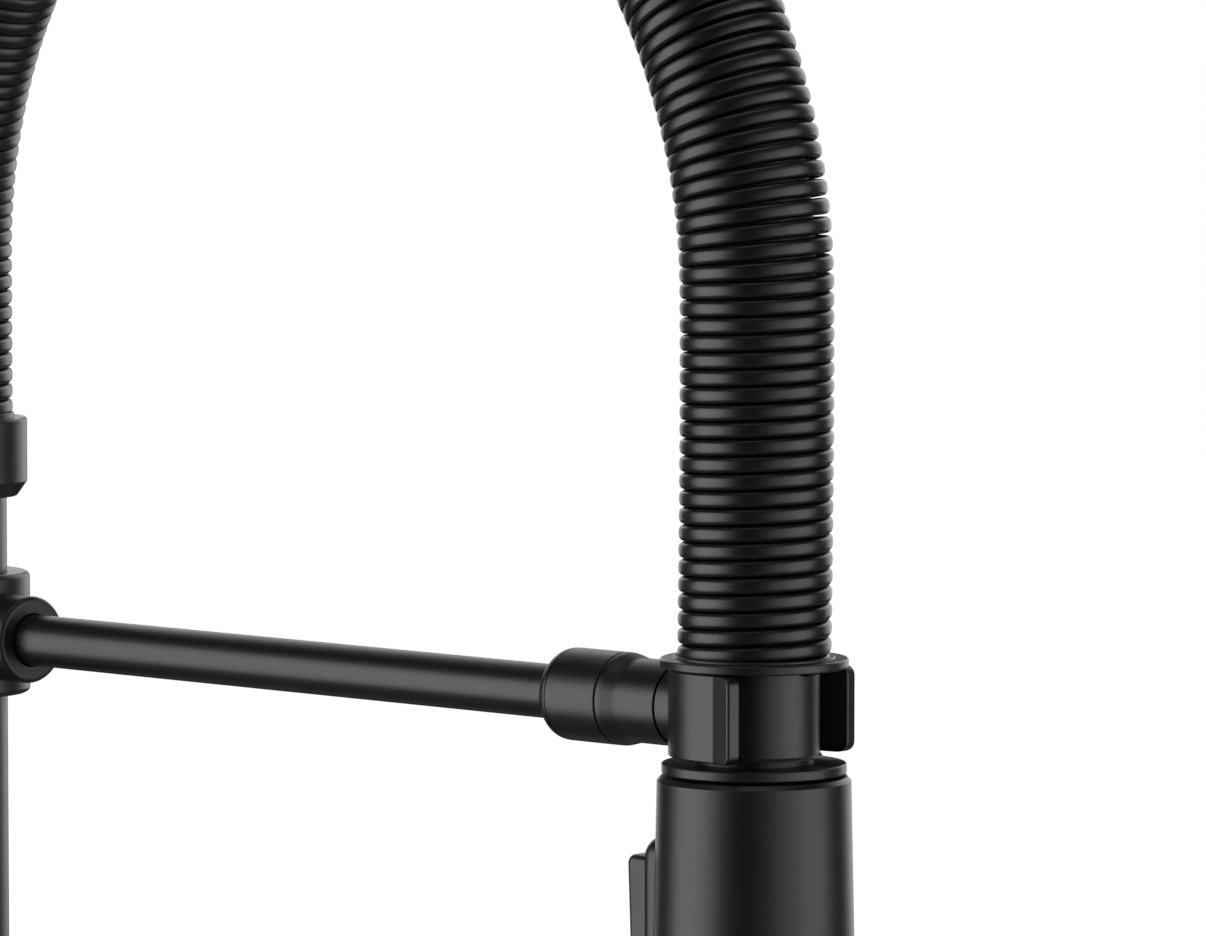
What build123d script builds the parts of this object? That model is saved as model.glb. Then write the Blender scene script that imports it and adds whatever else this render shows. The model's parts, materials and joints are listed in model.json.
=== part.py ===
from build123d import *
import math
import os

# Spring-neck pull-down kitchen faucet. Millimetres, +Z up.
# The origin is at deck level under the centre of the base. The spout reaches towards -Y,
# and the lever is on the +X side.

# ---------------------------------------------------------------- driving dimensions
REACH = 216.0            # riser axis to spray head axis
ARM_Z = 300.0            # height of the dock arm and of the middle of the clip

# deck and base
FLANGE_R, FLANGE_H = 27.0, 6.0
GASKET_IN, GASKET_OUT, GASKET_H = 22.8, 25.2, 1.5
BODY_R = 23.0
BODY_SHOULDER_Z, BODY_TOP = 126.0, 140.0
SHANK_R, SHANK_BORE = 16.0, 12.75
SHANK_LOW, SHANK_TOP = -62.0, 14.0
DECK_BOTTOM = -30.0      # underside of the counter that the nut clamps
HEX_R, HEX_H = 24.0, 9.0
NUT_FLANGE_R, NUT_FLANGE_T = 23.5, 4.0
INLET_Y, INLET_R, INLET_LENGTH = 6.2, 4.55, 14.0

# valve cartridge, on an axis along +X
PORT_Z = 88.0
PORT_R, PORT_END = 21.5, 36.0
CAVITY_R, CAVITY_FLOOR = 17.6, 8.0
THREAD_R, THREAD_START = 18.5, 30.0
PIVOT_X = 28.6           # the stem's pivot pin
STEM_SIDE = 6.0
STEM_INNER = 8.0         # from the pin to the ball end in the disc carrier
STEM_LENGTH, STEM_MIDDLE = 30.0, 11.0  # the square bar, and its middle measured from the pin
LEVER_AT = 23.0          # lever and set screw, from the pin along the stem
TILT = 12.5              # the closed stem points this many degrees above the cartridge axis
DOME_R, HUB_CLEARANCE = 20.0, 0.8
HUB_R, HUB_START, HUB_END = 16.2, 13.9, 31.0
LEVER_R, LEVER_TIP_R, LEVER_TOP = 4.6, 3.9, 188.0

# riser
RISER_R, RISER_BORE = 12.5, 11.5
RISER_LOW, RISER_TOP = 150.0, 338.0
SPIGOT_R, SPIGOT_TOP = 9.5, 186.0
RUNNING = 0.08           # radial clearance of a shaft that turns in its hole
TOP_SEAT_Z = 343.5       # the spring's lower end on the riser side

# arch: two straight legs and half a circle
ARCH_Z = 374.7
ARCH_R = REACH / 2
SPRING_R, SPRING_INNER = 13.6, 11.79   # a plain tube with the mass of the coil
HOSE_R, HOSE_BORE = 7.0, 4.5
HOSE_RISER_END, HOSE_HEAD_END = 346.0, 294.0

# dock arm, measured outwards from the spray head axis towards the riser
ROD_R = 5.0
CLIP_H, CLIP_R, CLIP_BORE = 15.7, 15.4, 13.0
JAW_BEND, JAW_TIP, TIP_LEAN = 4.05, 9.2, 0.4
JAW_TIP_HALF, JAW_WALL = 17.1, 2.8
LINER_BORE, LINER_H = 12.1, 13.8
SHANK_START, COVE_START, NUT_START, NUT_END, GLAND_END = 17.7, 26.9, 31.5, 43.8, 46.8
CLIP_SHANK_R, NUT_R = 7.6, 8.5

# docking collar
NECK_R = 11.8
TOP_FLANGE_R, TOP_FLANGE_Z, TOP_FLANGE_T = 16.9, 308.0, 1.7
LIP_R, LIP_H = 14.4, 0.45            # the low rim round the spring's seat
SEAT_R, SEAT_DEPTH = 13.75, 0.5
FOOT_GROOVE = 0.7        # depth and height of the groove round the foot of the neck
LOW_FLANGE_R, LOW_FLANGE_Z, LOW_FLANGE_T = 16.6, 289.0, 1.9

# spray head
HEAD_TOP = 288.4
HEAD_WALL = 1.8
HEAD_PROFILE = [(17.4, 288.4), (18.0, 260.0), (18.9, 222.0), (20.4, 176.0)]
CORE_R = 13.5
BEZEL_HALF, BEZEL_FACE, BEZEL_LOW, BEZEL_TOP = 11.0, 19.3, 230.0, 277.0
PADDLE_HALF, PADDLE_LOW, PADDLE_TOP = 9.8, 234.2, 273.8
PADDLE_BACK, PADDLE_PIN_Y, PADDLE_PIN_Z = 15.0, 16.6, 254.0
SPOOL_R, SPOOL_Z = 3.5, 240.0
SPOOL_GAP = 0.5          # between the spool and the back of the paddle, so that the paddle can rock

parts = {}


# ---------------------------------------------------------------- helpers
def disc(radius, low, high):
    """A solid cylinder on the Z axis between two heights."""
    return Pos(0, 0, low) * Cylinder(radius, high - low, align=(Align.CENTER, Align.CENTER, Align.MIN))


def tube(outer, inner, low, high):
    return disc(outer, low, high) - disc(inner, low - 1, high + 1)


def block(x0, x1, y0, y1, z0, z1):
    size = (x1 - x0, y1 - y0, z1 - z0)
    return Pos(x0, y0, z0) * Box(*size, align=(Align.MIN, Align.MIN, Align.MIN))


def turned(*points):
    """A solid of revolution about Z from (radius, height) points."""
    outline = Polyline(*[(r, 0, z) for r, z in points], close=True)
    return revolve(make_face(outline), Axis.Z)


def o_ring(ring_r, wire_r, z):
    return Pos(0, 0, z) * Torus(ring_r, wire_r)


def around(count, radius, start=0.0):
    """Evenly spaced points on a circle about Z."""
    for i in range(count):
        angle = math.radians(start + 360.0 * i / count)
        yield radius * math.cos(angle), radius * math.sin(angle)


CARTRIDGE = Pos(0, 0, PORT_Z) * Rot(0, 90, 0)               # local +Z points along world +X
STEM = Pos(PIVOT_X, 0, PORT_Z) * Rot(0, -TILT, 0) * Rot(0, 90, 0)   # from the pin out along the stem
ARM = Pos(0, -REACH, ARM_Z) * Rot(-90, 0, 0)                # local +Z runs from the head to the riser
HEAD = Pos(0, -REACH, 0)                                    # the spray head's own axis
REAR = Rot(-90, 0, 0)                                       # local +Z points to world +Y


# ---------------------------------------------------------------- base
def make_base():
    parts["base_flange"] = turned(
        (SHANK_R + 0.2, 0), (GASKET_IN, 0), (GASKET_IN, GASKET_H), (GASKET_OUT, GASKET_H),
        (GASKET_OUT, 0), (FLANGE_R, 0), (FLANGE_R, FLANGE_H - 1.6), (FLANGE_R - 0.5, FLANGE_H - 0.6),
        (FLANGE_R - 1.6, FLANGE_H), (SHANK_R + 0.2, FLANGE_H))
    parts["base_gasket"] = tube(GASKET_OUT, GASKET_IN, 0, GASKET_H)

    body = turned(
        (0, FLANGE_H), (BODY_R, FLANGE_H), (BODY_R, BODY_SHOULDER_Z), (BODY_R - 0.8, BODY_SHOULDER_Z + 4),
        (BODY_R - 2.8, BODY_SHOULDER_Z + 8), (BODY_R - 5.4, BODY_TOP - 3), (16.5, BODY_TOP), (0, BODY_TOP))
    body += CARTRIDGE * disc(PORT_R, 0, PORT_END)
    body -= disc(SHANK_R, FLANGE_H - 1, SHANK_TOP)
    body -= CARTRIDGE * disc(CAVITY_R, CAVITY_FLOOR, PORT_END + 1)
    body -= CARTRIDGE * disc(THREAD_R, THREAD_START, PORT_END + 1)
    for side in (-1, 1):
        inlet = Pos(0, side * INLET_Y, 0)
        body -= inlet * disc(INLET_R, SHANK_TOP - 1, SHANK_TOP + INLET_LENGTH)
        body -= inlet * disc(2.6, SHANK_TOP, PORT_Z - 5)
        body -= Pos(0, side * INLET_Y, PORT_Z - 5) * Rot(0, 90, 0) * disc(2.6, -2.6, CAVITY_FLOOR + 1)
    body -= Pos(0, 0, PORT_Z + 7) * Rot(0, 90, 0) * disc(2.6, -2.6, CAVITY_FLOOR + 1)
    body -= disc(4.5, PORT_Z + 7, BODY_TOP - 14)
    body -= disc(8.0, BODY_TOP - 14, BODY_TOP + 1)
    parts["valve_body"] = body

    parts["mounting_shank"] = tube(SHANK_R, SHANK_BORE, SHANK_LOW, SHANK_TOP)
    parts["deck_rubber_washer"] = tube(26.0, SHANK_R + 0.3, DECK_BOTTOM - 3, DECK_BOTTOM)
    parts["deck_steel_washer"] = tube(25.0, SHANK_R + 0.3, DECK_BOTTOM - 4.6, DECK_BOTTOM - 3)
    nut_top = DECK_BOTTOM - 6.2
    nut_low = nut_top - NUT_FLANGE_T - HEX_H
    hexagon = extrude(RegularPolygon(HEX_R, 6), HEX_H)
    nut = Pos(0, 0, nut_low) * hexagon + disc(NUT_FLANGE_R, nut_low + HEX_H, nut_top)
    nut -= disc(SHANK_R, nut_low - 1, nut_top + 1)
    screws = []
    for x, y in around(2, 20.0):
        nut -= Pos(x, y, 0) * disc(2.0, nut_low - 1, nut_top + 1)
        screw = disc(2.0, nut_low - 3, DECK_BOTTOM - 4.6) - disc(1.0, nut_low - 4, nut_low)
        screws.append(Pos(x, y, 0) * screw)
    parts["mounting_nut"] = nut
    parts["nut_clamp_screws"] = Compound(children=screws)


# ---------------------------------------------------------------- cartridge
def port_holes(radius, low, high):
    """The two inlets and the outlet through the cartridge, in the cartridge's own frame."""
    holes = []
    for x, y in ((5.0, INLET_Y), (5.0, -INLET_Y), (-7.0, 0.0)):
        holes.append(Pos(x, y, 0) * disc(radius, low, high))
    return holes


def make_cartridge():
    seal_top = CAVITY_FLOOR + 1.2
    seals = []
    for outer, inner in zip(port_holes(4.0, CAVITY_FLOOR, seal_top), port_holes(2.8, 7, seal_top + 1)):
        seals.append(CARTRIDGE * (outer - inner))
    parts["cartridge_seals"] = Compound(children=seals)

    housing = turned((0, seal_top), (17.5, seal_top), (17.5, 28), (14.5, 28), (14.5, 34), (12.2, 34),
                     (12.2, 25.7), (15.6, 25.7), (15.6, 11.2), (0, 11.2))
    ceramic = disc(15.5, 11.2, 14.2)
    for hole in port_holes(2.6, 7, 15):
        housing -= hole
        ceramic -= hole
    parts["cartridge_housing"] = CARTRIDGE * housing
    parts["fixed_ceramic_disc"] = CARTRIDGE * ceramic

    slid = STEM_INNER * math.sin(math.radians(TILT))
    moving = Pos(slid, 0, 0) * (disc(11.6, 14.25, 18.2) - Pos(-1, 0, 0) * Box(6, 12, 32))
    parts["moving_ceramic_disc"] = CARTRIDGE * moving
    carrier = disc(11.6, 18.25, 21.4) - disc(2.55, 18.35, 22)
    parts["disc_carrier"] = CARTRIDGE * Pos(slid, 0, 0) * carrier

    guide = disc(15.3, 21.7, 25.4) + disc(11.9, 21.7, 33.6)
    guide -= Pos(0, 0, 27) * Box(10.4, 6.6, 20)
    pin = Rot(90, 0, 0) * Cylinder(1.5, 20)
    guide -= Pos(0, 0, PIVOT_X) * pin
    parts["stem_guide"] = CARTRIDGE * guide
    parts["stem_pin"] = CARTRIDGE * Pos(0, 0, PIVOT_X) * pin

    parts["cartridge_retaining_nut"] = CARTRIDGE * (
        tube(17.5, 14.6, 28, THREAD_START) + tube(THREAD_R, 14.6, THREAD_START, PORT_END - 0.6))

    shell = Sphere(DOME_R) - Sphere(DOME_R - 1.6)
    shell &= disc(DOME_R + 1, PORT_END - PIVOT_X, DOME_R + 1)
    shell -= disc(DOME_R * math.sin(math.radians(26)), 0, DOME_R + 1)
    ring = tube(PORT_R, 18.0, PORT_END - PIVOT_X, PORT_END - PIVOT_X + 1.4)
    parts["cartridge_bonnet"] = CARTRIDGE * Pos(0, 0, PIVOT_X) * (shell + ring)


# ---------------------------------------------------------------- lever handle
def make_handle():
    bar = Pos(0, 0, STEM_MIDDLE) * Box(STEM_SIDE, STEM_SIDE, STEM_LENGTH)
    stem = bar + disc(1.9, -STEM_INNER, -3.5) + Pos(0, 0, -STEM_INNER) * Sphere(2.2)
    stem -= Rot(90, 0, 0) * Cylinder(1.55, 20)
    parts["cartridge_stem"] = STEM * stem

    hub = disc(HUB_R, HUB_START, HUB_END) - Sphere(DOME_R + HUB_CLEARANCE)
    hub = fillet(hub.edges().sort_by(Axis.Z)[-1], 5.0)
    hub -= bar
    # the side of the hub that faces the deck is local +X
    screw_way = Pos(0, 0, LEVER_AT) * Rot(0, 90, 0)
    hub -= screw_way * disc(2.5, 0, HUB_R + 1)
    screw = disc(2.5, STEM_SIDE / 2, 11.0) - disc(1.2, 8.0, 12.0)
    parts["handle_set_screw"] = STEM * screw_way * screw
    plug = disc(2.5, 12.5, HUB_R - 0.1)
    parts["handle_screw_plug"] = STEM * screw_way * plug

    centre = STEM * Pos(0, 0, LEVER_AT)
    x, z = centre.position.X, centre.position.Z
    lever = Pos(x, 0, 0) * turned(
        (0, z + 9), (LEVER_R, z + 9), (LEVER_R, z + 30), (LEVER_TIP_R, LEVER_TOP - 2.5),
        (LEVER_TIP_R - 0.8, LEVER_TOP - 0.8), (LEVER_TIP_R - 2.4, LEVER_TOP), (0, LEVER_TOP))
    parts["lever_rod"] = lever
    parts["handle_hub"] = STEM * hub - Pos(x, 0, 0) * disc(LEVER_R, z + 9, z + 40)


# ---------------------------------------------------------------- swivel and riser
def make_riser():
    lock_z = BODY_TOP + 6
    groove_low, groove_high = lock_z - 2.4, lock_z + 2.4
    rings = (162.0, 170.0)
    spigot = disc(8.0, BODY_TOP - 14, BODY_TOP) + disc(SPIGOT_R, BODY_TOP, SPIGOT_TOP)
    spigot -= disc(5.0, BODY_TOP - 15, SPIGOT_TOP + 1)
    spigot -= tube(SPIGOT_R + 1, 7.8, groove_low, groove_high)
    for z in rings:
        spigot -= tube(SPIGOT_R + 1, 7.15, z - 1.4, z + 1.4)
    parts["swivel_spigot"] = spigot
    parts["spigot_o_rings"] = Compound(children=[o_ring(8.33, 1.18, z) for z in rings])
    parts["swivel_glide_ring"] = tube(16.2, SPIGOT_R + 0.1, BODY_TOP, BODY_TOP + 0.6)

    socket_low = BODY_TOP + 0.65
    bore = SPIGOT_R + RUNNING
    socket = turned(
        (bore, socket_low), (16.5, socket_low), (16.5, 153), (15.6, 156.4), (13.4, 160), (RISER_R, 160),
        (RISER_R, RISER_LOW), (RISER_BORE, RISER_LOW), (RISER_BORE, 190), (bore, 190))
    screw_way = Pos(0, 0, lock_z) * REAR
    parts["riser_socket"] = socket - screw_way * disc(2.0, 5, 20)
    parts["riser_lock_screw"] = screw_way * (disc(2.0, 8.3, 15.6) - disc(1.0, 13.0, 16.0))

    parts["riser_tube"] = tube(RISER_R, RISER_BORE, RISER_LOW, RISER_TOP)
    parts["riser_top_collar"] = turned(
        (RISER_R, 327), (14.6, 327), (16.6, 329.4), (16.6, 341.6), (15.8, 342.5), (14.1, 342.5),
        (14.1, TOP_SEAT_Z), (8.2, TOP_SEAT_Z), (8.2, RISER_TOP), (RISER_R, RISER_TOP))

    fitting = turned(
        (3.4, 312), (RISER_BORE, 312), (RISER_BORE, 332), (8.2, 332), (8.2, HOSE_RISER_END),
        (HOSE_BORE, HOSE_RISER_END), (HOSE_BORE, HOSE_RISER_END + 14), (3.4, HOSE_RISER_END + 14))
    fitting -= tube(RISER_BORE + 1, 9.3, 318, 321.2)
    parts["riser_hose_fitting"] = fitting
    parts["riser_fitting_o_ring"] = o_ring(10.4, 1.1, 319.6)
    parts["riser_hose_ferrule"] = tube(8.0, HOSE_R, HOSE_RISER_END, HOSE_RISER_END + 18)


# ---------------------------------------------------------------- arch
def arch_tube(outer, inner, riser_end, head_end):
    """A hollow tube up from the riser, over half a circle, and down to the spray head."""
    ring = Pos(0, 0, ARCH_Z) * (Circle(outer) - Circle(inner))
    bend = revolve(ring, Axis((0, -ARCH_R, ARCH_Z), (1, 0, 0)), 180)
    up = tube(outer, inner, riser_end, ARCH_Z)
    down = HEAD * tube(outer, inner, head_end, ARCH_Z)
    return up + bend + down


def make_arch():
    parts["coil_spring"] = arch_tube(SPRING_R, SPRING_INNER, TOP_SEAT_Z, TOP_FLANGE_Z + TOP_FLANGE_T - SEAT_DEPTH)
    parts["inner_hose"] = arch_tube(HOSE_R, HOSE_BORE, HOSE_RISER_END, HOSE_HEAD_END)


# ---------------------------------------------------------------- dock arm
def make_arm():
    collar = turned((RISER_R, ARM_Z - 12), (16.0, ARM_Z - 12), (17.0, ARM_Z - 11), (17.0, ARM_Z + 11),
                    (16.0, ARM_Z + 12), (RISER_R, ARM_Z + 12))
    boss = Pos(0, 0, ARM_Z) * Rot(90, 0, 0) * (disc(NUT_R, 13.5, 25) + disc(NUT_R - 1, 25, 26))
    collar += boss - disc(RISER_R, 0, 400)
    collar -= Pos(0, 0, ARM_Z) * Rot(90, 0, 0) * disc(ROD_R, 14, 30)
    collar -= Pos(0, 0, ARM_Z) * REAR * disc(2.5, 10, 20)
    parts["arm_collar"] = collar
    parts["arm_collar_screw"] = Pos(0, 0, ARM_Z) * REAR * (disc(2.5, RISER_R, 16.2) - disc(1.2, 14, 17))

    parts["arm_rod"] = ARM * disc(ROD_R, 36, REACH - 14)
    parts["arm_gland"] = ARM * turned(
        (ROD_R, 36), (6.5, 36), (6.5, NUT_END), (NUT_R - 0.05, NUT_END), (NUT_R - 0.15, NUT_END + 0.8),
        (NUT_R - 0.55, NUT_END + 1.6), (NUT_R - 1.75, NUT_END + 2.6), (ROD_R, GLAND_END))
    nut = tube(NUT_R, 6.5, NUT_START, NUT_END)
    parts["coupling_nut"] = ARM * chamfer(nut.faces().filter_by(GeomType.CYLINDER).sort_by(
        SortBy.AREA)[-1].edges().filter_by(GeomType.CIRCLE), 0.25)
    parts["clip_shank"] = ARM * turned(
        (0, 14.2), (4.0, 14.2), (4.0, SHANK_START), (CLIP_SHANK_R, SHANK_START), (CLIP_SHANK_R, COVE_START),
        (CLIP_SHANK_R + 0.1, COVE_START + 0.8), (CLIP_SHANK_R + 0.45, COVE_START + 1.6),
        (NUT_R - 0.1, COVE_START + 2.4), (NUT_R, COVE_START + 3.1), (NUT_R, NUT_START), (6.5, NUT_START), (6.5, 35.8), (0, 35.8))


def clip_outline(outer, inner, jaw):
    """A ring seen from above, open towards -Y, with a jaw on each side."""
    ring = Circle(outer) - Circle(inner)
    opening = Pos(0, -15, 0) * Rectangle(2 * inner, 30)
    right = make_face(Polyline(*jaw, close=True))
    return (ring - opening) + right + mirror(right, Plane.YZ)


def make_clip():
    tip_y = -(JAW_TIP + TIP_LEAN)
    jaw = [(CLIP_BORE, 0), (CLIP_R, 0), (CLIP_R, -JAW_BEND), (JAW_TIP_HALF, -JAW_TIP),
           (JAW_TIP_HALF - JAW_WALL, tip_y), (CLIP_BORE, -JAW_BEND - 0.4)]
    clip = Pos(0, 0, ARM_Z - CLIP_H / 2) * extrude(clip_outline(CLIP_R, CLIP_BORE, jaw), CLIP_H)
    side = Plane.YZ * (Pos(10, ARM_Z) * RectangleRounded(2 * (10 - tip_y), CLIP_H, 1.5))
    clip &= extrude(side, 40, both=True)
    boss = Pos(0, 0, ARM_Z) * REAR * disc(CLIP_SHANK_R - 0.1, 13.6, SHANK_START)
    clip += boss
    clip -= Pos(0, 0, ARM_Z) * REAR * disc(4.0, 14.2, SHANK_START + 1)
    clip -= disc(CLIP_BORE, 280, 320)
    tips = clip.edges().filter_by(Axis.Z).group_by(Axis.Y)[:2]
    parts["dock_clip"] = HEAD * fillet([edge for group in tips for edge in group], 0.6)

    pad = [(LINER_BORE, 0), (CLIP_BORE, 0), (CLIP_BORE, -3.6), (LINER_BORE, -3.6)]
    liner = extrude(clip_outline(CLIP_BORE, LINER_BORE, pad), LINER_H)
    parts["clip_liner"] = HEAD * Pos(0, 0, ARM_Z - LINER_H / 2) * liner


# ---------------------------------------------------------------- docking collar and hose end
def make_docking_collar():
    low_top = LOW_FLANGE_Z + LOW_FLANGE_T
    top = TOP_FLANGE_Z + TOP_FLANGE_T
    parts["docking_collar"] = HEAD * turned(
        (8.1, 286), (11.0, 286), (11.0, LOW_FLANGE_Z), (LOW_FLANGE_R - 0.3, LOW_FLANGE_Z),
        (LOW_FLANGE_R, LOW_FLANGE_Z + 0.3), (LOW_FLANGE_R, low_top - 0.3), (LOW_FLANGE_R - 0.3, low_top),
        (NECK_R - FOOT_GROOVE, low_top), (NECK_R - FOOT_GROOVE, low_top + FOOT_GROOVE),
        (NECK_R, low_top + FOOT_GROOVE),
        (NECK_R, TOP_FLANGE_Z), (TOP_FLANGE_R - 0.3, TOP_FLANGE_Z), (TOP_FLANGE_R, TOP_FLANGE_Z + 0.3),
        (TOP_FLANGE_R, top - 0.3), (TOP_FLANGE_R - 0.3, top), (LIP_R, top), (LIP_R, top + LIP_H),
        (SEAT_R, top + LIP_H), (SEAT_R, top - SEAT_DEPTH), (8.1, top - SEAT_DEPTH))
    parts["head_hose_ferrule"] = HEAD * tube(8.1, HOSE_R, HOSE_HEAD_END, HOSE_HEAD_END + 20)
    nipple = turned(
        (3.2, 270), (6.0, 270), (6.0, 278), (8.2, 278), (8.2, 280.4), (6.0, 280.4), (6.0, 288),
        (8.1, 288), (8.1, HOSE_HEAD_END), (HOSE_BORE, HOSE_HEAD_END), (HOSE_BORE, HOSE_HEAD_END + 14),
        (3.2, HOSE_HEAD_END + 14))
    nipple -= tube(7, 4.4, 272.4, 275.2)
    parts["hose_nipple"] = HEAD * nipple
    parts["nipple_o_ring"] = HEAD * o_ring(5.2, 0.8, 273.8)


# ---------------------------------------------------------------- spray head
def make_head():
    inside = [(r - HEAD_WALL, z) for r, z in HEAD_PROFILE]
    inside[0] = (inside[0][0], HEAD_TOP - HEAD_WALL)
    lip = [(12.0, HEAD_TOP - HEAD_WALL), (12.0, HEAD_TOP), (HEAD_PROFILE[0][0] - 0.5, HEAD_TOP)]
    wall = [(HEAD_PROFILE[0][0], HEAD_TOP - 0.5)] + HEAD_PROFILE[1:] + inside[::-1]
    shell = turned(*lip, *wall)
    window = block(-BEZEL_HALF, BEZEL_HALF, 8, 30, BEZEL_LOW, BEZEL_TOP)
    parts["spray_shell"] = HEAD * (shell - window)

    core = turned(
        (0, 183), (12, 183), (12, 178), (17.8, 178), (17.8, 183), (CORE_R, 188), (CORE_R, 286),
        (10.5, 286), (10.5, 277), (6.0 + RUNNING, 277), (6.0 + RUNNING, 268), (4.2, 268), (4.2, 196), (0, 196))
    core -= block(-CORE_R - 1, CORE_R + 1, 10.8, 20, BEZEL_LOW - 2, BEZEL_TOP - 1)
    core -= Pos(0, 0, SPOOL_Z) * REAR * disc(SPOOL_R + RUNNING, -8, 20)
    outlets = 6
    for x, y in around(outlets, 8.5):
        core -= Pos(x, y, 0) * disc(1.6, 180, 200)
    core -= disc(7.4, 196, 200)
    screws = []
    for x, y in around(3, 15.0, 30.0):
        core -= Pos(x, y, 0) * disc(1.2, 174, 184)
        screws.append(HEAD * Pos(x, y, 0) * (disc(1.2, 178, 182.5) + disc(2.2, 176.4, 178)))
    parts["spray_core"] = HEAD * core
    parts["head_screws"] = Compound(children=screws)
    parts["head_swivel_nut"] = HEAD * tube(10.5, 6.0 + RUNNING, 280.8, 285.6)

    screen = tube(5.9, 5.0, 268, 269.6) + disc(5.0, 268.5, 269.1)
    for x in range(-4, 5, 2):
        for y in range(-4, 5, 2):
            if math.hypot(x, y) < 4.3:
                screen -= Pos(x, y, 0) * disc(0.7, 268, 270)
    parts["inlet_filter"] = HEAD * screen
    valve = turned((1.6, 254), (4.2, 254), (4.2, 264), (2.6, 264), (2.6, 258), (1.6, 256))
    parts["check_valve"] = HEAD * (valve + turned((0, 259), (2.6, 259), (2.6, 262), (0, 262)))

    bezel = block(-BEZEL_HALF, BEZEL_HALF, CORE_R + 0.1, BEZEL_FACE, BEZEL_LOW, BEZEL_TOP)
    bezel = fillet(bezel.edges().filter_by(Axis.Z).group_by(Axis.Y)[-1], 3.0)
    bezel = fillet(bezel.faces().sort_by(Axis.Y)[-1].edges().filter_by(Axis.X), 1.6)
    bezel -= block(-PADDLE_HALF - 0.4, PADDLE_HALF + 0.4, 10, 30, PADDLE_LOW - 0.6, PADDLE_TOP + 1.0)
    pin = Pos(0, PADDLE_PIN_Y, PADDLE_PIN_Z) * Rot(0, 90, 0) * Cylinder(1.2, 2 * BEZEL_HALF - 0.8)
    parts["paddle_bezel"] = HEAD * (bezel - pin)
    parts["paddle_pin"] = HEAD * pin

    profile = [(PADDLE_BACK, PADDLE_LOW), (20.9, PADDLE_LOW), (21.8, PADDLE_LOW + 1.2), (22.0, 250),
               (23.0, PADDLE_TOP - 1.2), (22.1, PADDLE_TOP), (PADDLE_BACK, PADDLE_TOP)]
    side = make_face(Polyline(*[(0, y, z) for y, z in profile], close=True))
    paddle = extrude(side, PADDLE_HALF, dir=(1, 0, 0), both=True)
    front = paddle.faces().sort_by(Axis.Y)[-1].edges() + paddle.faces().sort_by(Axis.Y)[-2].edges()
    paddle = fillet([edge for edge in front if abs(edge.center().X) > PADDLE_HALF - 0.1], 1.0)
    paddle -= Pos(0, PADDLE_PIN_Y, PADDLE_PIN_Z) * Rot(0, 90, 0) * Cylinder(1.26, 40)
    parts["mode_paddle"] = HEAD * paddle

    spool_axis = Pos(0, 0, SPOOL_Z) * REAR
    spool = disc(SPOOL_R, -5, PADDLE_BACK - SPOOL_GAP)
    spool -= tube(SPOOL_R + 1, 2.2, 1.5, 5.5)
    parts["diverter_spool"] = HEAD * spool_axis * spool


def make_spray_face():
    parts["face_ring"] = HEAD * turned(
        (17.4, 170.4), (19.6, 170.0), (20.6, 171.0), (20.6, 176.0), (18.3, 176.0), (18.3, 178.0),
        (17.4, 178.0))
    plate = disc(17.4, 170.6, 172.6) - disc(7.2, 160, 180)
    mat = tube(17.0, 7.6, 172.6, 174.2)
    for count, radius in ((18, 9.6), (24, 12.4), (30, 15.2)):
        for x, y in around(count, radius):
            plate -= Pos(x, y, 0) * disc(0.75, 170, 173)
            mat += Pos(x, y, 0) * (disc(0.75, 169.9, 172.7) - disc(0.3, 169, 172.0))
    parts["spray_plate"] = HEAD * plate
    parts["nozzle_mat"] = HEAD * mat
    aerator = disc(7.1, 169.6, 177.8)
    for x in range(-6, 7, 2):
        for y in range(-6, 7, 2):
            if math.hypot(x, y) < 5.7:
                aerator -= Pos(x, y, 169) * Box(1.3, 1.3, 6)
    parts["aerator"] = HEAD * aerator


make_base()
make_cartridge()
make_handle()
make_riser()
make_arch()
make_arm()
make_clip()
make_docking_collar()
make_head()
make_spray_face()

os.makedirs("parts", exist_ok=True)
for name, shape in parts.items():
    export_step(shape, f"parts/{name}.step")
print(len(parts), "nodes")
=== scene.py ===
import json
import math

import bmesh
import bpy
from mathutils import Matrix, Vector


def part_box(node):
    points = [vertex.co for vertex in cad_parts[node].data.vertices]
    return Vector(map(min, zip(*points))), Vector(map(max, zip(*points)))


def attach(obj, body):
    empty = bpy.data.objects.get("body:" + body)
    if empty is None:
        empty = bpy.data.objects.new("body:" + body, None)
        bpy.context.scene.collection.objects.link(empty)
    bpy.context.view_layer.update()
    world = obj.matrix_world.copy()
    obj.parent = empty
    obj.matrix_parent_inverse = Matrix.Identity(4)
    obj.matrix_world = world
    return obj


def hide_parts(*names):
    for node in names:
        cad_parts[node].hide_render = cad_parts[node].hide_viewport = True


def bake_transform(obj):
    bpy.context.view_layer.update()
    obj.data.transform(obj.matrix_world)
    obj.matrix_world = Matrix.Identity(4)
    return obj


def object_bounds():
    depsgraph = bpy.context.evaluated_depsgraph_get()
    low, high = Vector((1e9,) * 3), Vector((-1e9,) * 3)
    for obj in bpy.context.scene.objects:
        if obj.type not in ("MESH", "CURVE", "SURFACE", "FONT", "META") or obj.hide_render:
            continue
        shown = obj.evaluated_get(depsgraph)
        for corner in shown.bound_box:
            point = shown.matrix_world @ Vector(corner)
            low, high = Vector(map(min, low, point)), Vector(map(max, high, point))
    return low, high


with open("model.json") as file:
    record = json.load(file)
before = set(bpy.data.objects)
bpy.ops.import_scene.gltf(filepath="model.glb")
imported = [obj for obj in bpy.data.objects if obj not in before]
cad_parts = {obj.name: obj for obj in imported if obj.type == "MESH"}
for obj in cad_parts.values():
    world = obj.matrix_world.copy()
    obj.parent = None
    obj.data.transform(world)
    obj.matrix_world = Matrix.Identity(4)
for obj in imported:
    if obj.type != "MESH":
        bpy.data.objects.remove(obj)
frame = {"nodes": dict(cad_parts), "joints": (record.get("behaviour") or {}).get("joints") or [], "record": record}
cad_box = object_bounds()
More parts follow.
